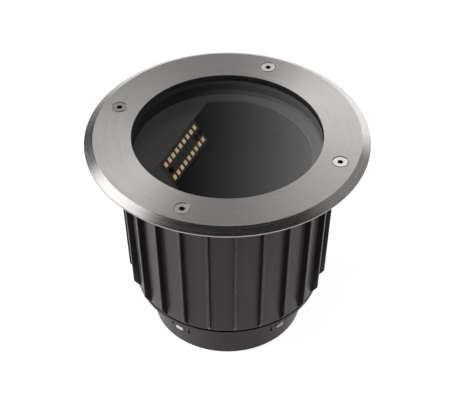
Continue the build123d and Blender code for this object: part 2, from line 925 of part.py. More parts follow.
def make_thermal_pad():
    """Thin pad between the board and the heat block."""
    back = -board_thickness - pad_thickness
    pad = board_slab(pad_margin, back, -board_thickness)
    pad -= along_slope(wire_hole_radius, wire_hole_place, back, 0)
    for place in board_screw_places:
        pad -= along_slope(board_screw_radius + board_hole_gap, place, back, 0)
    return on_optic(pad)


def make_led_board():
    """The LED board with its screw, wire and tooling holes."""
    board = board_slab(0, -board_thickness, 0)
    board -= along_slope(wire_hole_radius, wire_hole_place, -board_thickness, 0)
    board -= along_slope(tooling_hole_radius, tooling_hole_place, -board_thickness, 0)
    for place in board_screw_places:
        board -= along_slope(board_screw_radius + board_hole_gap, place, -board_thickness, 0)
    return on_optic(board)


def on_led_places(size, low, high):
    """A square block at every LED of both rows."""
    block = extrude(Rectangle(size, size), high - low)
    first = -led_pitch * (led_count - 1) / 2
    places = [(down, first + led_pitch * k) for down in (0, led_row_gap) for k in range(led_count)]
    return [on_optic(board_face * Pos(down, along, low) * block) for down, along in places]


def make_led_packages():
    """Bodies of the LEDs."""
    return on_led_places(led_size, 0, led_height)


def make_led_phosphors():
    """Yellow phosphor faces of the LEDs."""
    return on_led_places(phosphor_size, led_height, led_rise)


def make_board_screws():
    """Button-head screws that hold the board."""
    top = board_screw_head_height
    screws = []
    for place in board_screw_places:
        screw = along_slope(board_screw_head, place, 0, top)
        screw += along_slope(board_screw_radius, place, -board_screw_length, 0)
        screw -= along_slope(board_screw_radius / 2, place, top / 2, top)
        screws.append(on_optic(screw))
    return screws


def make_wire_sleeve():
    """Black sleeve that leads the wires through the board."""
    outside = wire_hole_radius - bush_gap
    low = -board_thickness - pad_thickness
    sleeve = along_slope(outside, wire_hole_place, low, wire_sleeve_rise)
    return on_optic(sleeve - along_slope(outside - wire_sleeve_wall, wire_hole_place, low, wire_sleeve_rise))


def trough(skin):
    """Space above the reflector's flank and floor, let down by the thickness of its skin."""
    flank_top = z_plate_under
    foot_across, foot_height = on_slope(led_row_gap + board_margin + flank_margin, -reflector_lift)
    rise = flank_top - foot_height
    top_across = foot_across - rise / tan(radians(board_tilt)) - skin / sin(radians(board_tilt))
    foot = (foot_across - skin * tan(radians(board_tilt / 2)), foot_height - skin)
    rim = (reflector_radius, z_plate_under - reflector_rim_drop - skin)
    low = (reflector_low_across, z_plate - reflector_low - skin)
    beyond = reflector_radius + 2 * reflector_thickness
    outline = Curve() + [
        Line((top_across, flank_top), foot),
        ThreePointArc(foot, low, rim),
        Polyline(rim, (beyond, rim[1]), (beyond, flank_top), (top_across, flank_top)),
    ]
    return extrude(Plane.XZ * make_face(outline), 2 * reflector_radius, both=True)


def make_reflector():
    """The dark reflector bowl with its window for the LED board and its two posts."""
    wall_low = z_carrier_top
    bowl = trough(reflector_thickness) & disc(reflector_radius + reflector_thickness, wall_low, z_plate_under)
    post = extrude(Circle(post_radius), z_plate_under - reflector_rim_drop - z_carrier_top)
    for x, y in post_places()[2:]:
        bowl += Pos(x, y, z_carrier_top) * post
    bowl -= trough(0) & disc(reflector_radius, wall_low, z_plate_under)
    bowl -= board_slab(-window_gap, -board_thickness - pad_thickness, led_rise + reflector_thickness)
    for x, y in post_places()[2:]:
        bowl -= post_bore(x, y)
    return on_optic(bowl)


# Cover


def make_trim_ring():
    """The stainless trim ring with its bevel, its lip over the glass and countersunk holes."""
    pocket = glass_radius + glass_side_gap
    rim_inside = flange_radius + rim_gap
    ring = turned([
        (opening_radius, z_lip),
        (opening_radius, z_top - edge_break),
        (opening_radius + edge_break, z_top),
        (ring_radius - bevel_width, z_top),
        (ring_radius, z_ring + ring_edge),
        (ring_radius, z_ring),
        (rim_inside, z_ring),
        (rim_inside, z_flange_top),
        (pocket, z_flange_top),
        (pocket, z_lip),
    ])
    hole = screw_radius + ring_hole_gap
    mouth = screw_head_radius + head_edge + screw_sink + head_gap
    sink = turned([
        (0, z_ring),
        (hole, z_ring),
        (hole, z_top - (mouth - hole)),
        (mouth, z_top),
        (0, z_top),
    ])
    return ring - around(Pos(screw_circle, 0, 0) * sink, screw_count, screw_turn)


def make_glass():
    """The thick flat glass with its broken edges."""
    middle = glass_radius - glass_edge_break
    return turned([
        (0, z_glass),
        (middle, z_glass),
        (glass_radius, z_glass + glass_edge_break),
        (glass_radius, z_glass_top - glass_edge_break),
        (middle, z_glass_top),
        (0, z_glass_top),
    ])


def make_glass_bond():
    """Black silicone between the ring's lip and the glass."""
    return tube(glass_radius, opening_radius, z_glass_top, z_lip)


def make_trim_screw(number):
    """One countersunk screw of the trim ring."""
    z_rim = z_screw_top - head_edge
    neck = z_rim - (screw_head_radius - screw_radius)
    screw = turned([
        (0, z_screw_tip),
        (screw_radius - edge_break, z_screw_tip),
        (screw_radius, z_screw_tip + edge_break),
        (screw_radius, neck),
        (screw_head_radius, z_rim),
        (screw_head_radius - head_edge, z_screw_top),
        (0, z_screw_top),
    ])
    screw -= hexagon(socket_width, z_screw_top - socket_depth, z_screw_top)
    return Rot(0, 0, screw_turn + 360 * number / screw_count) * Pos(screw_circle, 0, 0) * screw


def make_nodes():
    """Every piece by its name."""
    nodes = {
        "ribbed_sleeve": make_sleeve(),
        "snap_base": make_base(),
        "cable_grommets": make_grommets(),
        "lamp_housing": make_housing(),
        "seat_seal": make_seat_seal(),
        "glass_gasket": make_glass_gasket(),
        "thread_inserts": make_inserts(),
        "bottom_cover": make_bottom_cover(),
        "bottom_gasket": make_bottom_gasket(),
        "bottom_screws": make_cover_screws(),
        "pivot_bolt": make_pivot_bolt(),
        "wave_washer": make_wave_washer(),
        "lead_bush": make_lead_bush(),
        "driver": make_driver(),
        "driver_screws": make_driver_screws(),
        "terminal_block": make_terminal_block(),
        "terminal_screws": make_terminal_screws(),
        "terminal_fixings": make_terminal_fixings(),
        "earth_screw": make_earth_screw(),
        "gland_body": make_gland_body(),
        "gland_washer": make_gland_washer(),
        "gland_locknut": make_gland_locknut(),
        "gland_seal": make_gland_seal(),
        "gland_nut": make_gland_nut(),
        "vent_plug": make_vent_plug(),
        "vent_nut": make_vent_nut(),
        "aiming_plate": make_aiming_plate(),
        "optic_carrier": make_carrier(),
        "carrier_screws": make_carrier_screws(),
        "thermal_pad": make_thermal_pad(),
        "led_board": make_led_board(),
        "led_packages": make_led_packages(),
        "led_phosphors": make_led_phosphors(),
        "board_screws": make_board_screws(),
        "wire_sleeve": make_wire_sleeve(),
        "reflector": make_reflector(),
        "trim_ring": make_trim_ring(),
        "glass": make_glass(),
        "glass_bond": make_glass_bond(),
    }
    for number in range(screw_count):
        nodes[f"trim_screw_{number + 1}"] = make_trim_screw(number)
    return nodes


def write_nodes(nodes):
    """Writes one STEP file for each piece."""
    os.makedirs("parts", exist_ok=True)
    for name, shape in nodes.items():
        pieces = shape if isinstance(shape, list) else [shape]
        solids = [solid for piece in pieces for solid in piece.solids()]
        export_step(Compound(solids), f"parts/{name}.step")


write_nodes(make_nodes())
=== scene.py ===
from math import radians

import bpy
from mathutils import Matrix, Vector

bl_info = {
    "name": "Recessed ground light",
    "version": (1, 0, 0),
    "blender": (4, 5, 0),
    "location": "View3D > Sidebar > Ground light",
    "description": "Finishes, studio and camera for the recessed ground light",
    "category": "Material",
}

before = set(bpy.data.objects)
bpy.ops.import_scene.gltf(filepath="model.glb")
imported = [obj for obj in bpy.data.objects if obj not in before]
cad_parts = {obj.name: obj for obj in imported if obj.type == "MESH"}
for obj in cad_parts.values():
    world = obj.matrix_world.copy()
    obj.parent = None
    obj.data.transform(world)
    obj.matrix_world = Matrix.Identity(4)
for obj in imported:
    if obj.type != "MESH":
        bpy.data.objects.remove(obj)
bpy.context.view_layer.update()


# Places on the part in metres. A pair is where a soft edge starts and ends.

OPENING_RADIUS = 0.0755
# The bead's span reaches over the opening's rounded edge, where its black is painted shade.
BEAD_AND_SHADE_EDGE = (OPENING_RADIUS + 0.00005, OPENING_RADIUS + 0.0003)
BEVEL_EDGE = (0.1054, 0.1058)
# Where the outer rim's wall is darkened as painted shade.
RIM_SHADE_EDGE = (0.1121, 0.1124)

# Where the flank round the LED board is painted paler near its end, as painted light.
FLANK_NORMAL = (0.7238, -0.3375, 0.6018)
FLANK_OFFSET = 0.05813
FLANK_DEPTH = (0.0004, 0.0016)
BOARD_ROW = (0.4226, 0.9063)
FLANK_END = (-0.033, -0.027)

SLEEVE_FOOT_RADIUS = 0.07565
SLEEVE_TAPER = 0.042
# Where the fins' tips get a painted highlight mixed with rubbed wear.
FIN_TIP_DEPTH = (0.0040, 0.0050)
FIN_FOOT = (0.042, 0.046)
# Where the tongues' noses get a painted highlight.
NOSE_REACH = (0.0629, 0.0632)
NOSE_TOP = (0.019, 0.020)
# Where the groove under the sleeve gets painted shade.
GROOVE_FLOOR = (0.0394, 0.0396)
GROOVE_ROOF = (0.0414, 0.0416)
GROOVE_MOUTH = (0.0766, 0.0771)

# A screw's socket, painted black as shade, in shares of the screw's own box, and how far sideways a fin's
# flank faces, where it gets painted shade.

SCREW_AXIS = 0.5
SOCKET_EDGE = (0.165, 0.195)
SOCKET_FLOOR = (0.55, 0.65)
SOCKET_SHADE = (0.010, 0.010, 0.010)
FIN_FLANK = (0.25, 0.70)

# The studio's floor and lamps in metres. A lamp's row gives its name, the property that holds its power,
# its size, its place and whether metal and glass show it.

FLOOR_REACH = 4.0
FLOOR_LEVEL = -0.0003
FLOOR_GREY = (0.50, 0.50, 0.50)
FLOOR_UNDER_BASE = (0.0600, 0.0628)
FLOOR_FAR = (0.40, 1.60)

LAMP_TARGET = (0.0, 0.0, 0.15)
LAMPS = (
    ("key_lamp", "key_power", (0.8, 0.8), (-1.45, 0.0, 0.55), False),
    ("top_lamp", "top_power", (0.7, 0.7), (0.78, -0.45, 1.22), False),
    ("right_lamp", "right_power", (0.6, 0.5), (1.50, -0.10, 0.55), False),
    ("front_lamp", "front_power", (1.0, 0.8), (-0.74, -1.60, 0.52), True),
)

# What metal and glass see round the part, by the x, y and z of the direction they look in.

BACKDROP_TOP = (0.10, 0.30)
BACKDROP_BACK = (0.45, 0.75)
CORNER_BACK = (0.60, 0.90)
CORNER_SIDE = (-0.25, 0.10)
HAZE_TOP = (0.45, 0.58)
HAZE_BACK = (0.55, 0.75)
PANEL_RAMP = (-0.06, 0.13)
PANEL_SLANT = (0.80, 1.15)
PANEL_TOP = (0.95, 2.0)
PANEL_BACK = (0.0, 0.05)
PANEL_FOOT = (0.14, 0.36)
LEFT_PANEL_WAY = (-0.56, 0.34, 0.755)
LEFT_PANEL_EDGE = (0.92, 0.98)
RIGHT_PANEL_WAY = (0.66, 0.36, 0.655)
RIGHT_PANEL_EDGE = (0.88, 0.96)
SCREEN_WAY = (-0.51, 0.836, 0.204)
SCREEN_EDGE = (0.937, 0.966)
SCREEN_SHADE = 0.93
WALLS_BACK = (0.10, 0.50)
WALLS_TOP = (0.30, 0.60)
NEARLY_NOTHING = 0.001

SENSOR_WIDTH = 36.0


# Node sheets


class Link:
    """A socket of a node sheet that Python arithmetic works on."""

    def __init__(self, sheet, socket):
        self.sheet = sheet
        self.socket = socket

    def maths(self, operation, first, second):
        return self.sheet.add("ShaderNodeMath", {"operation": operation}, {0: first, 1: second})

    def __add__(self, other):
        return self.maths("ADD", self, other)

    def __radd__(self, other):
        return self.maths("ADD", other, self)

    def __sub__(self, other):
        return self.maths("SUBTRACT", self, other)

    def __rsub__(self, other):
        return self.maths("SUBTRACT", other, self)

    def __mul__(self, other):
        return self.maths("MULTIPLY", self, other)

    def __rmul__(self, other):
        return self.maths("MULTIPLY", other, self)

    def __truediv__(self, other):
        return self.maths("DIVIDE", self, other)

    def __rtruediv__(self, other):
        return self.maths("DIVIDE", other, self)

    def __pow__(self, other):
        return self.maths("POWER", self, other)

    def above(self, other):
        """The larger of two values."""
        return self.maths("MAXIMUM", self, other)


class Sheet:
    """The node tree of one material or of the world."""

    def __init__(self, tree):
        self.tree = tree
        tree.nodes.clear()

    def add(self, kind, settings=None, sockets=None, result=0):
        """Adds a node: its settings come first, then the values or links of its sockets."""
        node = self.tree.nodes.new(kind)
        for name, value in (settings or {}).items():
            setattr(node, name, value)
        for name, value in (sockets or {}).items():
            if isinstance(value, Link):
                self.tree.links.new(value.socket, node.inputs[name])
            else:
                node.inputs[name].default_value = value
        return Link(self, node.outputs[result]) if node.outputs else None

    def place(self):
        """Coordinates on the object in metres, as a vector."""
        return self.add("ShaderNodeTexCoord", result="Object")

    def split(self, vector):
        """The x, y and z of a vector."""
        first = self.add("ShaderNodeSeparateXYZ", {}, {0: vector})
        return [Link(self, socket) for socket in first.socket.node.outputs]

    def join(self, x, y, z):
        """A vector from its x, y and z."""
        return self.add("ShaderNodeCombineXYZ", {}, {0: x, 1: y, 2: z})

    def noise(self, vector, scale, detail=3.0, roughness=0.55):
        sockets = {"Vector": vector, "Scale": scale, "Detail": detail, "Roughness": roughness}
        return self.add("ShaderNodeTexNoise", {"noise_dimensions": "3D"}, sockets)

    def rise(self, value, span):
        """0 below the span, 1 above it and a smooth step between."""
        sockets = {0: value, 1: span[0], 2: span[1]}
        return self.add("ShaderNodeMapRange", {"interpolation_type": "SMOOTHSTEP"}, sockets)

    def fall(self, value, span):
        """1 below the span, 0 above it and a smooth step between."""
        return 1.0 - self.rise(value, span)

    def blend(self, share, first, second):
        """Mixes two colours."""
        return self.add("ShaderNodeMix", {"data_type": "RGBA"}, {0: share, 6: first, 7: second}, 2)

    def shade(self, colour, level):
        """A colour times a level."""
        grey = self.add("ShaderNodeCombineColor", {}, {0: level, 1: level, 2: level})
        settings = {"data_type": "RGBA", "blend_type": "MULTIPLY"}
        return self.add("ShaderNodeMix", settings, {0: 1.0, 6: colour, 7: grey}, 2)

    def bump(self, height, strength, distance):
        sockets = {"Height": height, "Strength": strength, "Distance": distance}
        return self.add("ShaderNodeBump", {}, sockets)

    def ray(self, *kinds):
        """1 for rays of any of these kinds, else 0."""
        found = [self.add("ShaderNodeLightPath", {}, {}, kind) for kind in kinds]
        total = found[0]
        for one in found[1:]:
            total = total.above(one)
        return total


def length(x, y):
    """The length of a flat vector."""
    return (x * x + y * y) ** 0.5


def project(parts, way):
    """How far a vector, given by its parts, reaches along a direction."""
    total = parts[0] * way[0]
    for part, share in zip(parts[1:], way[1:]):
        total = total + part * share
    return total


def swing(noise, amount):
    """Noise that swings round 0, by half the amount either way."""
    return (noise - 0.5) * amount


def rgba(colour):
    """A stored colour with full alpha."""
    return (*colour, 1.0)


def new_finish(name):
    """A new material and its empty node sheet."""
    material = bpy.data.materials.new(name)
    material.use_nodes = True
    return material, Sheet(material.node_tree)


def close_finish(sheet, **sockets):
    """Ends a node sheet in one Principled shader, with its sockets by their names."""
    named = {name.replace("_", " ").replace("Ior", "IOR"): value for name, value in sockets.items()}
    shader = sheet.add("ShaderNodeBsdfPrincipled", {}, named)
    sheet.add("ShaderNodeOutputMaterial", {}, {"Surface": shader})


def paint(material, *nodes):
    """Gives CAD nodes a finish."""
    for name in nodes:
        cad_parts[name].material_slots[0].material = material


# Finishes


def brushed_steel(name, colour, bead_and_shade_colour):
    """Stainless steel brushed round the Z axis, with black on the opening's wall and rounded edge, partly a
    sealant bead and partly painted shade that hides the edge's highlight, and painted shade on the outer
    rim's wall.
    """
    material, sheet = new_finish(name)
    vector = sheet.place()
    x, y, z = sheet.split(vector)
    radius = length(x, y)
    across = radius - z

    def brush(lines, arcs, **noise):
        """Noise drawn out round the axis: lines per metre across it and arcs along it."""
        drawn = sheet.join(across * lines, x / radius * arcs, y / radius * arcs)
        return sheet.noise(drawn, scale=1.0, **noise)

    fine = brush(lines=1500.0, arcs=2.5, detail=4.0, roughness=0.65)
    middle = brush(lines=560.0, arcs=3.0, detail=3.0)
    broad = brush(lines=160.0, arcs=2.0, detail=2.0)
    smear = sheet.noise(vector, scale=38.0, detail=2.0)
    streak = swing(fine, 0.22) + swing(middle, 0.26) + swing(broad, 0.12)
    # Black on the opening's wall: a sealant bead, spread over the rounded edge as painted shade.
    bead_and_edge_shade = sheet.fall(radius, BEAD_AND_SHADE_EDGE)
    bevel = sheet.rise(radius, BEVEL_EDGE)
    rim = sheet.rise(radius, RIM_SHADE_EDGE)
    # Painted shade darkens the outer rim's wall.
    steel = sheet.shade(rgba(colour), (1.0 + streak + swing(smear, 0.07)) * (1.0 - rim * 0.45))
    close_finish(
        sheet,
        Base_Color=sheet.blend(bead_and_edge_shade, steel, rgba(bead_and_shade_colour)),
        Metallic=1.0 - bead_and_edge_shade,
        Roughness=0.42 + streak * 0.3 + swing(smear, 0.05) + bead_and_edge_shade * 0.2 - bevel * 0.16,
        Anisotropic=0.85,
        Anisotropic_Rotation=0.25,
        Normal=sheet.bump(fine * (1.0 - bevel * 0.85), strength=0.06, distance=0.0002),
    )
    return material


def plain_metal(name, colour, roughness, grain):
    """Bright metal with a fine grain and faint handling marks."""
    material, sheet = new_finish(name)
    vector = sheet.place()
    fine = sheet.noise(vector, scale=grain, detail=3.0)
    smear = sheet.noise(vector, scale=grain * 0.08, detail=2.0)
    close_finish(
        sheet,
        Base_Color=sheet.shade(rgba(colour), 0.94 + smear * 0.12),
        Metallic=1.0,
        Roughness=roughness + swing(fine, 0.12) + swing(smear, 0.10),
        Normal=sheet.bump(fine, strength=0.05, distance=0.0002),
    )
    return material


def satin_steel(name, colour):
    """Satin steel of a screw head, with painted shade in its socket."""
    material, sheet = new_finish(name)
    fine = sheet.noise(sheet.place(), scale=1500.0, detail=3.0)
    across, along, up = sheet.split(sheet.add("ShaderNodeTexCoord", result="Generated"))
    off_axis = length(across - SCREW_AXIS, along - SCREW_AXIS)
    # Painted shade: the socket is coloured black.
    socket = sheet.fall(off_axis, SOCKET_EDGE) * sheet.rise(up, SOCKET_FLOOR)
    bright = sheet.shade(rgba(colour), 0.95 + fine * 0.10)
    close_finish(
        sheet,
        Base_Color=sheet.blend(socket, bright, rgba(SOCKET_SHADE)),
        Metallic=1.0,
        Roughness=0.30 + swing(fine, 0.10) + socket * 0.3,
        Normal=sheet.bump(fine, strength=0.04, distance=0.0002),
    )
    return material


def moulded(name, colour, roughness, grain, depth, painted_glow=0.0):
    """Moulded plastic or rubber with a fine texture, uneven gloss and, if wanted, a faint painted glow."""
    material, sheet = new_finish(name)
    vector = sheet.place()
    fine = sheet.noise(vector, scale=grain, detail=2.0)
    broad = sheet.noise(vector, scale=grain * 0.03, detail=3.0)
    close_finish(
        sheet,
        Base_Color=sheet.shade(rgba(colour), 0.90 + broad * 0.20),
        Roughness=roughness + swing(fine, 0.08) + swing(broad, 0.12),
        Emission_Color=rgba(colour),
        Emission_Strength=painted_glow,
        Normal=sheet.bump(fine, strength=0.25, distance=depth),
    )
    return material


def matt_black(name, colour, lit_end_colour):
    """Soft black coat with a faint sheen, with painted light on the near end of the flank round the LED
    board.
    """
    material, sheet = new_finish(name)
    vector = sheet.place()
    x, y, z = sheet.split(vector)
    off = project((x, y, z), FLANK_NORMAL) - FLANK_OFFSET
    along = project((x, y), BOARD_ROW)
    # Painted light: the flank's near end is paler.
    end = sheet.fall(off, FLANK_DEPTH) * sheet.fall(along, FLANK_END)
    fine = sheet.noise(vector, scale=1200.0, detail=2.0)
    broad = sheet.noise(vector, scale=30.0, detail=2.0)
    black = sheet.shade(rgba(colour), 0.92 + broad * 0.16)
    close_finish(
        sheet,
        Base_Color=sheet.blend(end, black, rgba(lit_end_colour)),
        Roughness=0.58 + swing(fine, 0.10) + swing(broad, 0.08),
        Specular_IOR_Level=0.25,
        Normal=sheet.bump(fine, strength=0.02, distance=0.00002),
    )
    return material


def sleeve_plastic(name, colour, tip_wear_and_highlight_colour, nose_highlight_colour):
    """Satin plastic with painted shade on the fins' flanks and in the groove under the sleeve, a painted
    highlight mixed with rubbed wear along the fins' tips, and a painted highlight on the tongues' noses.
    """
    material, sheet = new_finish(name)
    vector = sheet.place()
    x, y, z = sheet.split(vector)
    radius = length(x, y)
    normal_x, normal_y, _ = sheet.split(sheet.add("ShaderNodeNewGeometry", result="Normal"))
    sideways = (normal_y * x - normal_x * y) / radius
    # Painted shade: fin flanks that face sideways are darkened.
    flank = sheet.rise(sideways * sideways, FIN_FLANK)
    wall = SLEEVE_FOOT_RADIUS + z * SLEEVE_TAPER
    tip = sheet.rise(radius - wall, FIN_TIP_DEPTH) * sheet.rise(z, FIN_FOOT)
    # Painted highlight on the tongues' noses.
    nose_highlight = sheet.rise(radius, NOSE_REACH) * sheet.fall(z, NOSE_TOP)
    # Painted shade in the groove under the sleeve.
    groove_shade = sheet.rise(z, GROOVE_FLOOR) * sheet.fall(z, GROOVE_ROOF) * sheet.fall(radius, GROOVE_MOUTH)
    fine = sheet.noise(vector, scale=1400.0, detail=2.0)
    broad = sheet.noise(vector, scale=26.0, detail=3.0)
    drawn = sheet.noise(sheet.join(x * 700.0, y * 700.0, z * 25.0), scale=1.0, detail=3.0)
    # Painted highlight mixed with rubbed wear along the fins' tips.
    tip_wear_and_highlight = tip * sheet.rise(sheet.noise(vector, scale=160.0, detail=3.0), (0.30, 0.70))
    # Painted shade from the groove and the fins' flanks darkens the body colour.
    dark = groove_shade.above(flank * 0.8)
    body = sheet.shade(rgba(colour), (0.86 + broad * 0.20 + drawn * 0.08) * (1.0 - dark * 0.95))
    body_with_tip_wear_and_highlight = sheet.blend(tip_wear_and_highlight * 0.6, body, rgba(tip_wear_and_highlight_colour))
    close_finish(
        sheet,
        Base_Color=sheet.blend(nose_highlight, body_with_tip_wear_and_highlight, rgba(nose_highlight_colour)),
        Roughness=0.34 + swing(fine, 0.10) + swing(broad, 0.10) - tip * 0.06,
        Specular_IOR_Level=0.22,
        Normal=sheet.bump(fine + drawn * 0.6, strength=0.18, distance=0.0001),
    )
    return material


def powder_coat(name, colour):
    """Dark powder coat with a soft orange peel."""
    material, sheet = new_finish(name)
    vector = sheet.place()
    peel = sheet.noise(vector, scale=420.0, detail=2.0)
    broad = sheet.noise(vector, scale=20.0, detail=2.0)
    close_finish(
        sheet,
        Base_Color=sheet.shade(rgba(colour), 0.92 + broad * 0.16),
        Roughness=0.48 + swing(broad, 0.10),
        Normal=sheet.bump(peel, strength=0.22, distance=0.0003),
    )
    return material


def clear_glass(name, colour):
    """Thick clear glass that lets the lamps through."""
    material, sheet = new_finish(name)
    glass = sheet.add(
        "ShaderNodeBsdfPrincipled",
        {},
        {"Base Color": rgba(colour), "Roughness": 0.0, "IOR": 1.5, "Transmission Weight": 1.0},
    )
    open_way = sheet.add("ShaderNodeBsdfTransparent", {}, {"Color": rgba(colour)})
    lamps = sheet.ray("Is Shadow Ray", "Is Diffuse Ray")
    mixed = sheet.add("ShaderNodeMixShader", {}, {0: lamps, 1: glass, 2: open_way})
    sheet.add("ShaderNodeOutputMaterial", {}, {"Surface": mixed})
    return material


# Properties


def colour_property(title, words, default):
    """A colour that a user may change."""
    return bpy.props.FloatVectorProperty(
        name=title, description=words, default=default, size=3, min=0.0, max=1.0, subtype="COLOR"
    )


def light_property(title, words, default, unit="NONE"):
    """A brightness or a power that a user may change."""
    return bpy.props.FloatProperty(name=title, description=words, default=default, min=0.0, unit=unit)


class GroundLightFinishes(bpy.types.PropertyGroup):
    """Colours of the light's pieces."""

    steel: colour_property("Trim steel", "Brushed steel of the trim ring", (0.595, 0.568, 0.549))
    screw: colour_property("Trim screws", "Satin steel of the trim screws", (0.66, 0.65, 0.64))
    hardware: colour_property("Hardware", "Plain steel of the inner screws", (0.55, 0.55, 0.54))
    sleeve: colour_property("Sleeve", "Dark plastic of the sleeve and base", (0.052, 0.0415, 0.0432))
    # Colour of the painted highlight mixed with rubbed wear on the fins' tips.
    fin_tip: colour_property("Fin tips", "Rubbed plastic along the fins", (0.100, 0.092, 0.091))
    # Colour of the painted highlight on the tongues' noses.
    nose_highlight: colour_property("Tongue noses", "Rubbed noses of the base's tongues", (0.62, 0.61, 0.60))
    # The rubber colour is also the black of the bead and of the painted shade on the opening's edge.
    rubber: colour_property("Rubber", "Seals, grommets and bushes", (0.010, 0.010, 0.010))
    gasket: colour_property("Glass gasket", "Silicone ring under the glass", (0.035, 0.035, 0.035))
    housing: colour_property("Housing", "Powder coat of the lamp housing", (0.013, 0.013, 0.014))
    plate: colour_property("Aiming plate", "Plate under the glass", (0.078, 0.077, 0.076))
    reflector: colour_property("Reflector", "Inside of the reflector", (0.006, 0.006, 0.006))
    # Colour of the painted light on the near end of the flank.
    flank: colour_property("Reflector flank", "Near end of the LED board's flank", (0.080, 0.077, 0.074))
    aluminium: colour_property("Aluminium", "Turntable of the optic", (0.62, 0.62, 0.63))
    board: colour_property("LED board", "Solder mask of the LED board", (0.046, 0.043, 0.040))
    led_body: colour_property("LED bodies", "Rims of the LEDs", (0.50, 0.21, 0.03))
    # The phosphor colour is also the colour of its painted glow.
    phosphor: colour_property("LED phosphor", "Faces of the LEDs", (0.93, 0.82, 0.57))
    pad: colour_property("Heat pad", "Pad behind the LED board", (0.30, 0.31, 0.33))
    brass: colour_property("Brass", "Terminal and earth screws", (0.72, 0.52, 0.22))
    white: colour_property("White plastic", "Driver and terminal block", (0.66, 0.66, 0.64))
    black: colour_property("Black plastic", "Gland and vent", (0.014, 0.014, 0.015))
    glass: colour_property("Glass", "Tint of the thick glass", (0.985, 0.990, 0.985))


class GroundLightStudio(bpy.types.PropertyGroup):
    """Camera and light of the studio."""

    camera_place: bpy.props.FloatVectorProperty(
        name="Camera place",
        description="Where the camera stands",
        default=(0.0, -0.8659, 0.9007),
        subtype="TRANSLATION",
        unit="LENGTH",
    )
    camera_tilt: bpy.props.FloatProperty(
        name="Camera tilt",
        description="How far the camera looks down",
        default=radians(42.266),
        subtype="ANGLE",
        unit="ROTATION",
    )
    camera_turn: bpy.props.FloatProperty(
        name="Camera turn",
        description="How far the camera looks to the right",
        default=radians(0.081),
        subtype="ANGLE",
        unit="ROTATION",
    )
    lens: bpy.props.FloatProperty(
        name="Lens", description="Focal length on a 36 mm wide sensor", default=112.6, unit="CAMERA"
    )
    ambient: light_property("Ambient light", "Even light from all round", 0.08)
    ceiling: light_property("Ceiling", "What metal and glass see above the backdrop", 0.024)
    haze: light_property("Back haze", "Grey above the backdrop that metal and glass show", 0.75)
    panel: light_property("Back panel", "White panel at the back right that metal and glass show", 2.08)
    left_panel: light_property("Left panel", "Pale panel on the left that metal and glass show", 2.4)
    right_panel: light_property("Right panel", "Grey panel on the right that metal and glass show", 0.28)
    walls: light_property("Walls", "Grey walls in front and beside that metal and glass show", 0.56)
    key_power: light_property("Key lamp", "Large lamp on the left", 34.0, "POWER")
    top_power: light_property("Top lamp", "Lamp above, at the front right", 8.0, "POWER")
    right_power: light_property("Right lamp", "Weak lamp on the right", 2.4, "POWER")
    front_power: light_property("Front lamp", "Weak lamp at the front left", 1.3, "POWER")
    floor_lift: light_property("Floor lift", "Light that keeps the floor white for the camera", 0.79)


# Operators


class PaintTrimRing(bpy.types.Operator):
    """Brushed steel on the trim ring and satin steel on its screws"""

    bl_idname = "ground_light.paint_trim_ring"
    bl_label = "Trim ring and screws"

    def execute(self, context):
        colours = context.scene.ground_light_finishes
        paint(brushed_steel("brushed_trim_steel", colours.steel, colours.rubber), "trim_ring")
        screws = [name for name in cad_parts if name.startswith("trim_screw_")]
        paint(satin_steel("turned_screw_steel", colours.screw), *screws)
        return {"FINISHED"}


class PaintGlass(bpy.types.Operator):
    """Clear glass and the black bond round it"""

    bl_idname = "ground_light.paint_glass"
    bl_label = "Glass"

    def execute(self, context):
        colours = context.scene.ground_light_finishes
        paint(clear_glass("thick_clear_glass", colours.glass), "glass")
        bond = moulded("black_glass_bond", colours.rubber, roughness=0.55, grain=700.0, depth=0.0001)
        paint(bond, "glass_bond")
        return {"FINISHED"}


class PaintSleeve(bpy.types.Operator):
    """Satin plastic on the ribbed sleeve and its base"""

    bl_idname = "ground_light.paint_sleeve"
    bl_label = "Sleeve and base"

    def execute(self, context):
        colours = context.scene.ground_light_finishes
        plastic = sleeve_plastic("sleeve_plastic", colours.sleeve, colours.fin_tip, colours.nose_highlight)
        paint(plastic, "ribbed_sleeve", "snap_base")
        return {"FINISHED"}


class PaintSeals(bpy.types.Operator):
    """Black rubber on seals, grommets and bushes, and grey silicone under the glass"""

    bl_idname = "ground_light.paint_seals"
    bl_label = "Seals and grommets"

    def execute(self, context):
        colours = context.scene.ground_light_finishes
        rubber = moulded("black_rubber", colours.rubber, roughness=0.72, grain=900.0, depth=0.0002)
        paint(rubber, "cable_grommets", "seat_seal", "bottom_gasket", "lead_bush")
        paint(rubber, "gland_washer", "gland_seal", "wire_sleeve")
        silicone = moulded("grey_silicone", colours.gasket, roughness=0.50, grain=700.0, depth=0.0001)
        paint(silicone, "glass_gasket")
        return {"FINISHED"}


class PaintHousing(bpy.types.Operator):
    """Powder coat on the lamp housing and its bottom cover"""

    bl_idname = "ground_light.paint_housing"
    bl_label = "Lamp housing"

    def execute(self, context):
        colours = context.scene.ground_light_finishes
        paint(powder_coat("housing_powder_coat", colours.housing), "lamp_housing", "bottom_cover")
        return {"FINISHED"}


class PaintOptic(bpy.types.Operator):
    """Dark plate and reflector on the bright turntable, with the heat pad"""

    bl_idname = "ground_light.paint_optic"
    bl_label = "Optic"

    def execute(self, context):
        colours = context.scene.ground_light_finishes
        coat = moulded("dark_plate_coat", colours.plate, roughness=0.36, grain=600.0, depth=0.00003)
        paint(coat, "aiming_plate")
        paint(matt_black("reflector_black", colours.reflector, colours.flank), "reflector")
        bright = plain_metal("turned_aluminium", colours.aluminium, roughness=0.38, grain=700.0)
        paint(bright, "optic_carrier")
        pad = moulded("grey_heat_pad", colours.pad, roughness=0.80, grain=500.0, depth=0.0002)
        paint(pad, "thermal_pad")
        return {"FINISHED"}


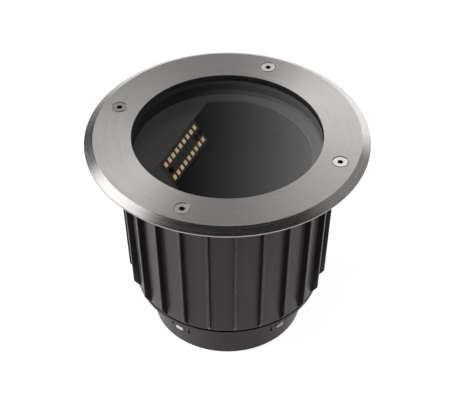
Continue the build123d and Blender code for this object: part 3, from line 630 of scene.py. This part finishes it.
class PaintLeds(bpy.types.Operator):
    """Dark board with pale yellow LEDs"""

    bl_idname = "ground_light.paint_leds"
    bl_label = "LED board"

    def execute(self, context):
        colours = context.scene.ground_light_finishes
        mask = moulded("board_solder_mask", colours.board, roughness=0.45, grain=500.0, depth=0.00005)
        paint(mask, "led_board")
        rim = moulded("led_rim", colours.led_body, roughness=0.50, grain=2000.0, depth=0.00005)
        paint(rim, "led_packages")
        # The phosphor gets a faint painted glow, though the LEDs are not lit.
        face = moulded(
            "led_phosphor", colours.phosphor, roughness=0.55, grain=2500.0, depth=0.00005, painted_glow=0.05
        )
        paint(face, "led_phosphors")
        return {"FINISHED"}


class PaintHardware(bpy.types.Operator):
    """Inner screws, driver, terminals, gland and vent"""

    bl_idname = "ground_light.paint_hardware"
    bl_label = "Hardware and wiring"

    def execute(self, context):
        colours = context.scene.ground_light_finishes
        steel = plain_metal("plain_steel", colours.hardware, roughness=0.32, grain=900.0)
        paint(steel, "thread_inserts", "bottom_screws", "pivot_bolt", "wave_washer", "driver_screws")
        paint(steel, "terminal_fixings", "carrier_screws")
        dark = plain_metal("blackened_steel", colours.black, roughness=0.40, grain=900.0)
        paint(dark, "board_screws")
        brass = plain_metal("plain_brass", colours.brass, roughness=0.30, grain=900.0)
        paint(brass, "terminal_screws", "earth_screw")
        white = moulded("white_plastic", colours.white, roughness=0.48, grain=900.0, depth=0.0001)
        paint(white, "driver", "terminal_block")
        black = moulded("black_plastic", colours.black, roughness=0.45, grain=900.0, depth=0.0001)
        paint(black, "gland_body", "gland_locknut", "gland_nut", "vent_plug", "vent_nut")
        return {"FINISHED"}


def add_lamp(name, power, size, place, gleams):
    """A soft rectangular lamp that faces the part, and that metal and glass show where it gleams."""
    light = bpy.data.lights.new(name, "AREA")
    light.energy = power
    light.shape = "RECTANGLE"
    light.size, light.size_y = size
    lamp = bpy.data.objects.new(name, light)
    lamp.location = place
    lamp.visible_glossy = gleams
    lamp.visible_transmission = gleams
    lamp.rotation_euler = (Vector(LAMP_TARGET) - Vector(place)).to_track_quat("-Z", "Y").to_euler()
    bpy.context.scene.collection.objects.link(lamp)


class SetStage(bpy.types.Operator):
    """White floor, studio light and the camera"""

    bl_idname = "ground_light.set_stage"
    bl_label = "Stage"

    def execute(self, context):
        studio = context.scene.ground_light_studio
        self.make_floor(studio)
        self.make_world(context.scene, studio)
        for name, power, size, place, gleams in LAMPS:
            add_lamp(name, getattr(studio, power), size, place, gleams)
        self.make_camera(context.scene, studio)
        context.scene.view_settings.view_transform = "Standard"
        return {"FINISHED"}

    def make_floor(self, studio):
        """A floor that is seen only from above, dark where the base stands and white far away."""
        mesh = bpy.data.meshes.new("studio_floor")
        turns = ((-1, -1), (1, -1), (1, 1), (-1, 1))
        corners = [(x * FLOOR_REACH, y * FLOOR_REACH, FLOOR_LEVEL) for x, y in turns]
        mesh.from_pydata(corners, [], [(0, 1, 2, 3)])
        floor = bpy.data.objects.new("studio_floor", mesh)
        bpy.context.scene.collection.objects.link(floor)
        material, sheet = new_finish("studio_white")
        matt = sheet.add("ShaderNodeBsdfDiffuse", {}, {"Color": rgba(FLOOR_GREY)})
        shown = sheet.ray("Is Camera Ray", "Is Glossy Ray", "Is Transmission Ray")
        x, y, _ = sheet.split(sheet.place())
        radius = length(x, y)
        outside = sheet.rise(radius, FLOOR_UNDER_BASE)
        far = sheet.rise(radius, FLOOR_FAR) * (1.0 - studio.floor_lift)
        strength = shown * (outside * studio.floor_lift + far)
        lift = sheet.add("ShaderNodeEmission", {}, {"Strength": strength})
        both = sheet.add("ShaderNodeAddShader", {}, {0: matt, 1: lift})
        clear = sheet.add("ShaderNodeBsdfTransparent")
        under = sheet.add("ShaderNodeNewGeometry", {}, {}, "Backfacing")
        one_sided = sheet.add("ShaderNodeMixShader", {}, {0: under, 1: both, 2: clear})
        sheet.add("ShaderNodeOutputMaterial", {}, {"Surface": one_sided})
        mesh.materials.append(material)

    def make_world(self, scene, studio):
        """White for the camera, a studio for metal and glass, and even light for the rest."""
        world = bpy.data.worlds.new("studio_world")
        world.use_nodes = True
        scene.world = world
        sheet = Sheet(world.node_tree)
        way = sheet.split(sheet.add("ShaderNodeTexCoord", result="Generated"))
        x, y, z = way
        corner = sheet.rise(y, CORNER_BACK) * sheet.fall(x, CORNER_SIDE)
        backdrop = sheet.fall(z, BACKDROP_TOP) * (0.7 + sheet.rise(y, BACKDROP_BACK) * 0.8 + corner * 0.4)
        haze = sheet.fall(z, HAZE_TOP) * sheet.rise(y, HAZE_BACK) * studio.haze
        side = x / y.above(NEARLY_NOTHING)
        steep = z / (x * x + y * y).above(NEARLY_NOTHING) ** 0.5
        ramp = sheet.add("ShaderNodeMapRange", {}, {0: side, 1: PANEL_RAMP[0], 2: PANEL_RAMP[1]})
        inside = ramp * ramp * sheet.fall(side + steep * 0.5, PANEL_SLANT) * sheet.fall(steep, PANEL_TOP)
        panel = inside * sheet.rise(y, PANEL_BACK) * sheet.rise(z, PANEL_FOOT) * studio.panel
        left = sheet.rise(project(way, LEFT_PANEL_WAY), LEFT_PANEL_EDGE) * studio.left_panel
        right = sheet.rise(project(way, RIGHT_PANEL_WAY), RIGHT_PANEL_EDGE) * studio.right_panel
        walls = sheet.fall(y, WALLS_BACK) * sheet.fall(z, WALLS_TOP) * studio.walls
        seen = studio.ceiling + backdrop * (1.0 - studio.ceiling)
        for bright in (haze, panel, left, right, walls):
            seen = seen.above(bright)
        screen = 1.0 - sheet.rise(project(way, SCREEN_WAY), SCREEN_EDGE) * SCREEN_SHADE
        camera = sheet.ray("Is Camera Ray")
        shiny = sheet.ray("Is Glossy Ray", "Is Transmission Ray")
        strength = camera + (1.0 - camera) * (shiny * (seen * screen) + (1.0 - shiny) * studio.ambient)
        light = sheet.add("ShaderNodeBackground", {}, {"Color": (1.0, 1.0, 1.0, 1.0), "Strength": strength})
        sheet.add("ShaderNodeOutputWorld", {}, {"Surface": light})

    def make_camera(self, scene, studio):
        lens = bpy.data.cameras.new("photo_camera")
        lens.sensor_fit = "HORIZONTAL"
        lens.sensor_width = SENSOR_WIDTH
        lens.lens = studio.lens
        camera = bpy.data.objects.new("photo_camera", lens)
        camera.location = studio.camera_place
        camera.rotation_euler = (radians(90.0) - studio.camera_tilt, 0.0, -studio.camera_turn)
        scene.collection.objects.link(camera)
        scene.camera = camera


painters = (
    PaintTrimRing,
    PaintGlass,
    PaintSleeve,
    PaintSeals,
    PaintHousing,
    PaintOptic,
    PaintLeds,
    PaintHardware,
)


class GroundLightPanel(bpy.types.Panel):
    """Finishes and studio of the ground light"""

    bl_idname = "VIEW3D_PT_ground_light"
    bl_label = "Ground light"
    bl_space_type = "VIEW_3D"
    bl_region_type = "UI"
    bl_category = "Ground light"

    def draw(self, context):
        for group in (context.scene.ground_light_finishes, context.scene.ground_light_studio):
            for name in group.bl_rna.properties.keys():
                if name not in ("rna_type", "name"):
                    self.layout.prop(group, name)
        for operator in painters + (SetStage,):
            self.layout.operator(operator.bl_idname)


classes = (GroundLightFinishes, GroundLightStudio, *painters, SetStage, GroundLightPanel)


def register():
    for one in classes:
        bpy.utils.register_class(one)
    bpy.types.Scene.ground_light_finishes = bpy.props.PointerProperty(type=GroundLightFinishes)
    bpy.types.Scene.ground_light_studio = bpy.props.PointerProperty(type=GroundLightStudio)


def unregister():
    del bpy.types.Scene.ground_light_studio
    del bpy.types.Scene.ground_light_finishes
    for one in reversed(classes):
        bpy.utils.unregister_class(one)


def main():
    register()
    bpy.ops.ground_light.paint_trim_ring()
    bpy.ops.ground_light.paint_glass()
    bpy.ops.ground_light.paint_sleeve()
    bpy.ops.ground_light.paint_seals()
    bpy.ops.ground_light.paint_housing()
    bpy.ops.ground_light.paint_optic()
    bpy.ops.ground_light.paint_leds()
    bpy.ops.ground_light.paint_hardware()
    bpy.ops.ground_light.set_stage()


if __name__ == "__main__":
    main()
